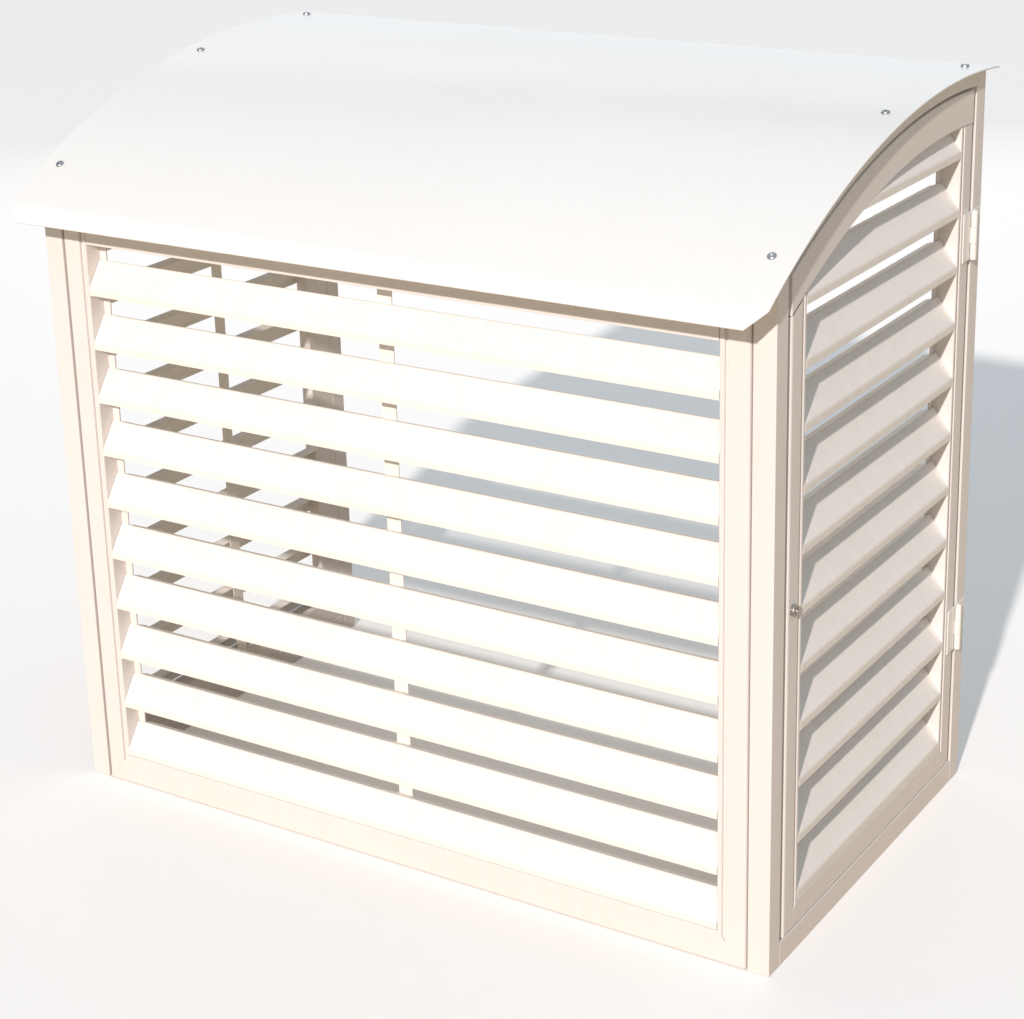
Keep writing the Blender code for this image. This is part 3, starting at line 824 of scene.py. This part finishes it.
left_middle = -(RAIL_FRONT + RAIL_BACK) / 2
left_length = RAIL_BACK - RAIL_FRONT - 2 * (BAR + SLAT_GAP)
left_slats = side_slats(left_middle, left_length, -ROOF_Y, LEFT_RADIUS - HEAD_RAIL - FIT)
top_slat = left_slats.pop()
stand(top_slat, LEFT_WALL)
put_in(top_slat, "left_louvre_top", "frame", ["left_slat_top"], lightened_slat_paint)
left_strip_y = -(LEFT_STRIP_FROM + STRIP_WIDTH / 2)
left_strip_top = under_roof(left_strip_y, ROOF_RADIUS - LEFT_RADIUS + HEAD_RAIL) - STRIP_END
left_strip = block(
    "strip",
    (LEFT_STRIP_FROM, LEFT_STRIP_DEPTHS[0], SIDE_SLATS_FROM + FIT),
    (LEFT_STRIP_FROM + STRIP_WIDTH, LEFT_STRIP_DEPTHS[1], left_strip_top),
)
ease_edges(left_strip, STRIP_FOLD, 2)


def join_up(pieces):
    """Joins the pieces to the first one, and leaves it selected alone."""
    hold(pieces[0])
    for piece in pieces:
        piece.select_set(True)
    bpy.ops.object.join()
    hold(pieces[0])
    return pieces[0]


join_up([left_strip, *left_slats])
stand(left_strip, LEFT_WALL)
put_in(left_strip, "left_louvre_bank", "frame", ["left_slats"], lightened_slat_paint)


# Roof. One 2 mm sheet, rolled to a long curve and folded down along the front, with the corners of the
# fold cut off at a slant. It has the glossiest coat, and is screwed down along both sides.
ROOF_SHEET = 0.002
ROOF_HALF = 0.512
ROOF_FRONT = -0.302
ROOF_BACK = 0.315
ROOF_STEPS = 64
ROOF_LIP_OUT = 0.013
ROOF_LIP_DOWN = 0.019
ROOF_LIP_SLANT = 0.022
ROOF_FOLD = 0.0025
SHEET_EDGE = 0.0005
START_STRIP = 0.01
roof_paint = powder_coat("roof_powder_coat", (0.81, 0.80, 0.77), DUST, 0.05, 0.20, 0.08, 0.20)
set_down()
bpy.ops.mesh.primitive_plane_add(size=2.0, location=(0.0, 0.0, 0.0))
roof = bpy.context.object
roof_turn = angle_at(ROOF_BACK, ROOF_Y, ROOF_RADIUS) - angle_at(ROOF_FRONT, ROOF_Y, ROOF_RADIUS)
roof.scale = (ROOF_HALF, START_STRIP, 1.0)
edge_height = under_roof(ROOF_FRONT, 0.0)
roof.location = (0.0, ROOF_FRONT - START_STRIP, edge_height)
bpy.ops.object.transform_apply(location=True, rotation=True, scale=True)
open_up(roof)
bpy.ops.mesh.select_mode(type="VERT")
bpy.ops.mesh.select_all(action="DESELECT")
outline = bmesh.from_edit_mesh(roof.data)
for corner in outline.verts:
    if corner.co.y < ROOF_FRONT - START_STRIP:
        corner.select_set(True)
bmesh.update_edit_mesh(roof.data)
bpy.ops.mesh.delete(type="VERT")
bpy.ops.mesh.select_all(action="SELECT")
bpy.ops.mesh.spin(
    steps=ROOF_STEPS,
    angle=roof_turn,
    center=(0.0, ROOF_Y, ROOF_Z),
    axis=(1.0, 0.0, 0.0),
)
pick_edges(roof, lambda corner: corner.y < ROOF_FRONT + ON_LINE)
bpy.ops.mesh.extrude_edges_move(TRANSFORM_OT_translate={"value": (0.0, -ROOF_LIP_OUT, -ROOF_LIP_DOWN)})
lip_scale = (ROOF_HALF - ROOF_LIP_SLANT) / ROOF_HALF
bpy.ops.transform.resize(value=(lip_scale, 1.0, 1.0), center_override=(0.0, ROOF_FRONT, edge_height))
pick_edges(roof, lambda corner: abs(corner.y - ROOF_FRONT) < ON_LINE)
bpy.ops.mesh.bevel(offset=ROOF_FOLD, segments=4, affect="EDGES")
face_outwards(roof, Vector((0.0, 0.0, 1.0)))
give_thickness(roof, ROOF_SHEET, -1.0)
ease_edges(roof, SHEET_EDGE, 2)
put_in(roof, "roof_sheet", "frame", ["roof"], roof_paint)


# Door frame. The side's four bars, welded up as one painted frame that the two hinges carry. Its front
# stile is bored through for the lock.
def round_bar(name, radius, start_point, end_point, sides=32):
    """A cylinder primitive between two points."""
    set_down()
    along = Vector(end_point) - Vector(start_point)
    bpy.ops.mesh.primitive_cylinder_add(
        vertices=sides,
        radius=radius,
        depth=along.length,
        location=(Vector(start_point) + Vector(end_point)) / 2,
        rotation=along.to_track_quat("Z", "Y").to_euler(),
    )
    piece = bpy.context.object
    piece.name = name
    bpy.ops.object.transform_apply(location=True, rotation=True, scale=True)
    return piece


LOCK_IN = 0.012
LOCK_Y = DOOR_LEFT + LOCK_IN
LOCK_Z = 0.430
LOCK_BORE = 0.0066
BORE_FROM, BORE_TO = -0.04, 0.01


def lock_bar(name, radius, inner, outer, sides=64):
    """A cylinder on the lock's axis, between two depths that are measured out from the door's face."""
    return round_bar(name, radius, (SIDE + inner, LOCK_Y, LOCK_Z), (SIDE + outer, LOCK_Y, LOCK_Z), sides)


bore = lock_bar("bore", LOCK_BORE, BORE_FROM, BORE_TO, 32)
cut_away(door_bars["stile_left"], bore)
bpy.data.objects.remove(bore)
for part, node in (
    ("stile_left", "door_stile_1"),
    ("stile_right", "door_stile_2"),
    ("foot", "door_rail_foot"),
    ("head", "door_rail_head"),
):
    put_in(door_bars[part], "door_" + part, "door", [node], frame_paint)


# Roof screws. Three round steel heads with a hexagon socket along each side, screwed down through the
# sheet into the posts and the curved rail.
SCREW_X = SIDE - 0.0165
SCREW_ROW = (-0.237, 0.044, 0.276)
SCREW_RADIUS = 0.0052
SCREW_ROUND = 0.0019
SCREW_SUNK = 0.0010
SCREW_PROUD = 0.0028
SOCKET_RADIUS = 0.0018
SOCKET_FLOOR = 0.0012
SOCKET_TOP = 0.0040
screw_steel = bpy.data.materials.new("screw_steel")
screw_steel.use_nodes = True
steel_nodes = screw_steel.node_tree.nodes
steel_shader = steel_nodes["Principled BSDF"]
steel_shader.inputs["Base Color"].default_value = (0.55, 0.55, 0.56, 1.0)
steel_shader.inputs["Metallic"].default_value = 1.0
steel_marks = steel_nodes.new("ShaderNodeTexNoise")
steel_marks.inputs["Scale"].default_value = 900.0
steel_range = steel_nodes.new("ShaderNodeMapRange")
steel_range.inputs["To Min"].default_value = 0.22
steel_range.inputs["To Max"].default_value = 0.48
steel_place = steel_nodes.new("ShaderNodeTexCoord")
screw_steel.node_tree.links.new(steel_place.outputs["Object"], steel_marks.inputs["Vector"])
screw_steel.node_tree.links.new(steel_marks.outputs["Fac"], steel_range.inputs["Value"])
screw_steel.node_tree.links.new(steel_range.outputs["Result"], steel_shader.inputs["Roughness"])

screws = []
for side in (-1, 1):
    for y in SCREW_ROW:
        head = round_bar("screw", SCREW_RADIUS, (0.0, 0.0, -SCREW_SUNK), (0.0, 0.0, SCREW_PROUD), 40)
        open_up(head)
        pick_edges(head, lambda corner: corner.z > SCREW_PROUD - ON_LINE)
        bpy.ops.mesh.bevel(offset=SCREW_ROUND, segments=5, affect="EDGES")
        socket = round_bar("socket", SOCKET_RADIUS, (0.0, 0.0, SOCKET_FLOOR), (0.0, 0.0, SOCKET_TOP), 6)
        cut_away(head, socket)
        bpy.data.objects.remove(socket)
        lean = angle_at(y, ROOF_Y, ROOF_RADIUS)
        place = Matrix.Translation((side * SCREW_X, y, under_roof(y, 0.0)))
        stand(head, place @ Matrix.Rotation(-lean, 4, "X"))
        screws.append(head)
screw_set = join_up(screws)
screw_set.name = "roof_screws"
screw_set.data.materials.clear()
screw_set.data.materials.append(screw_steel)
bpy.ops.object.shade_smooth_by_angle(angle=SMOOTH_BELOW)
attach(screw_set, "frame")


# Hinges. Two butt hinges, painted white, on the faces of the post and the door's rear stile. The post's
# leaf has the outer knuckles and the pin, and the door's leaf has the knuckle between them.
hinge_paint = powder_coat("hinge_powder_coat", (0.87, 0.85, 0.81), DUST, 0.04, 0.30, 0.06, 0.20)
HINGE_X = SIDE + 0.0045
HINGE_Y = BACK - POST - 0.004
HINGE_HEIGHTS = (("lower", 0.222), ("upper", 0.735))
KNUCKLE = 0.020
KNUCKLE_GAP = 0.0004
LEAF_IN = 0.0003
LEAF_OUT = 0.0018
LEAF_NEAR = 0.0048
LEAF_FAR = 0.0256
TAB_NEAR = 0.0012
TAB_FAR = 0.0050
BARREL = 0.0042
PIN_BORE = 0.0022
PIN = 0.0020
PIN_SHORT = 0.002
HINGE_FOLD = 0.0004


def hinge_bar(name, radius, low, high, sides):
    """A cylinder on the hinge's axis, between two heights."""
    return round_bar(name, radius, (HINGE_X, HINGE_Y, low), (HINGE_X, HINGE_Y, high), sides)


def leaf(towards, low, high, knuckles):
    """A hinge's leaf on the post (1) or on the door (-1), with its knuckles, as one joined piece."""

    def flat(name, near, far, bottom, top):
        reach = sorted((HINGE_Y + towards * near, HINGE_Y + towards * far))
        return block(name, (SIDE + LEAF_IN, reach[0], bottom), (SIDE + LEAF_OUT, reach[1], top))

    parts = [flat("plate", LEAF_NEAR, LEAF_FAR, low, high)]
    for bottom, top in knuckles:
        parts.append(flat("tab", TAB_NEAR, TAB_FAR, bottom, top))
        barrel = hinge_bar("barrel", BARREL, bottom, top, 40)
        bore = hinge_bar("bore", PIN_BORE, low - WASTE, high + WASTE, 32)
        cut_away(barrel, bore)
        bpy.data.objects.remove(bore)
        parts.append(barrel)
    for part in parts:
        ease_edges(part, HINGE_FOLD, 2)
    if towards > 0:
        pin = hinge_bar("pin", PIN, low + PIN_SHORT, high - PIN_SHORT, 32)
        ease_edges(pin, SHEET_EDGE, 2)
        parts.append(pin)
    return join_up(parts)


for label, middle in HINGE_HEIGHTS:
    low, high = middle - 1.5 * KNUCKLE, middle + 1.5 * KNUCKLE
    door_leaf = leaf(-1, low, high, [(low + KNUCKLE, high - KNUCKLE)])
    name = "hinge_%s_door_leaf" % label
    put_in(door_leaf, name + "_fold", "door", [name], hinge_paint)
    outer_knuckles = [(low, low + KNUCKLE - KNUCKLE_GAP), (high - KNUCKLE + KNUCKLE_GAP, high)]
    post_leaf = leaf(1, low, high, outer_knuckles)
    name = "hinge_%s_frame_leaf" % label
    put_in(post_leaf, name + "_fold", "frame", [name], hinge_paint)


# Lock. A plated housing with a flange sits in the bore of the door's stile. The plug in it has a slot for
# the key at its outer end, and a cam at its inner end.
HOUSING = 0.0062
HOUSING_FACE = 0.003
FLANGE = 0.0070
FLANGE_BACK = 0.0004
FLANGE_FACE = 0.0045
FLANGE_ROUND = 0.0010
PLUG_WAY = 0.0043
PLUG = 0.0040
PLUG_FACE = 0.0036
CAM_IN, CAM_OUT = 0.4685, 0.4715
CAM_HALF = 0.006
CAM_LENGTH = 0.0275
KEY_HALF_WIDTH = 0.0006
KEY_HALF_HEIGHT = 0.0026
housing = lock_bar("housing", HOUSING, -BAR_DEPTH, HOUSING_FACE)
flange = lock_bar("flange", FLANGE, FLANGE_BACK, FLANGE_FACE)
ease_edges(flange, FLANGE_ROUND, 4)
cut_away(housing, flange, "UNION")
bpy.data.objects.remove(flange)
plug_way = lock_bar("plug_way", PLUG_WAY, BORE_FROM, BORE_TO)
cut_away(housing, plug_way)
bpy.data.objects.remove(plug_way)
put_in(housing, "lock_housing_plated", "door", ["lock_housing"], screw_steel)

cam = block(
    "cam",
    (CAM_IN, LOCK_Y - CAM_HALF, LOCK_Z - CAM_HALF),
    (CAM_OUT, LOCK_Y + CAM_HALF, LOCK_Z + CAM_LENGTH),
)
ease_edges(cam, SMALL_FOLD, 2)
plug = lock_bar("plug", PLUG, (CAM_IN + CAM_OUT) / 2 - SIDE, PLUG_FACE, 48)
ease_edges(plug, FINE_FOLD, 2)
cut_away(plug, cam, "UNION")
bpy.data.objects.remove(cam)
key_slot = block(
    "key_slot",
    (SIDE, LOCK_Y - KEY_HALF_WIDTH, LOCK_Z - KEY_HALF_HEIGHT),
    (SIDE + BORE_TO, LOCK_Y + KEY_HALF_WIDTH, LOCK_Z + KEY_HALF_HEIGHT),
)
cut_away(plug, key_slot)
bpy.data.objects.remove(key_slot)
put_in(plug, "lock_plug_and_cam", "lock", ["lock_plug"], screw_steel)

bpy.context.view_layer.update()
low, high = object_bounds()
